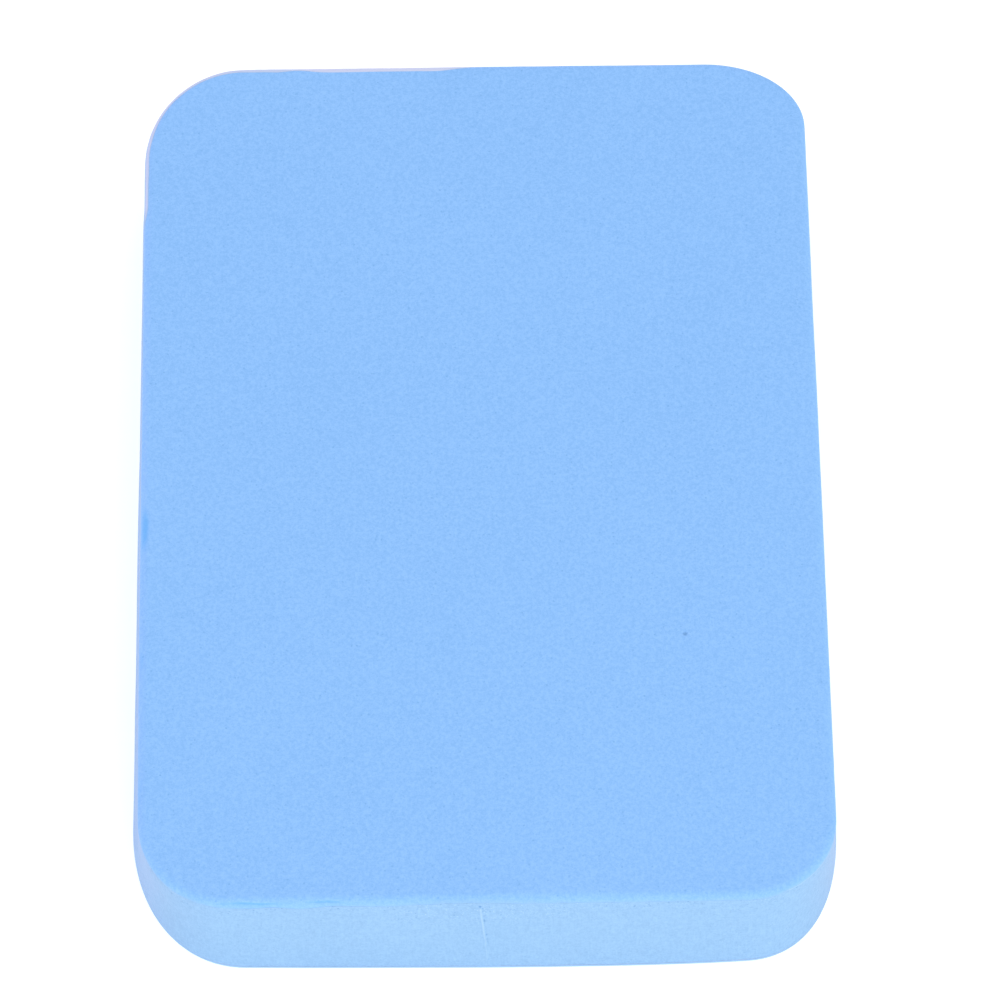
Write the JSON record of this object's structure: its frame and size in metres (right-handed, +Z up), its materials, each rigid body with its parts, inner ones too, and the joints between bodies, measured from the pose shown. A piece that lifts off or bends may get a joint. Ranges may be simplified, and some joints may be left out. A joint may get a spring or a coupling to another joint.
{
  "type": "balance pad",
  "caption": "Rectangular foam balance pad with rounded corners, a soft upper rim and dense skins over a springy core, for standing and kneeling exercises.",
  "frame": {"origin": "middle of the underside, on the floor the pad lies on", "axes": "+Z up out of the standing surface, +Y along the pad's length to its far end, +X across its width to the right"},
  "size_m": [0.2456, 0.3417, 0.05],
  "materials": {
    "foam_skin": "matte light blue closed-cell foam skin, finely grained",
    "foam_cut": "matte light blue cut foam with open cells, paler than the skin"
  },
  "bodies": {
    "root": {"bottom_skin": "foam_skin", "foam_core": "foam_cut", "top_skin": "foam_skin"}
  },
  "joints": []
}
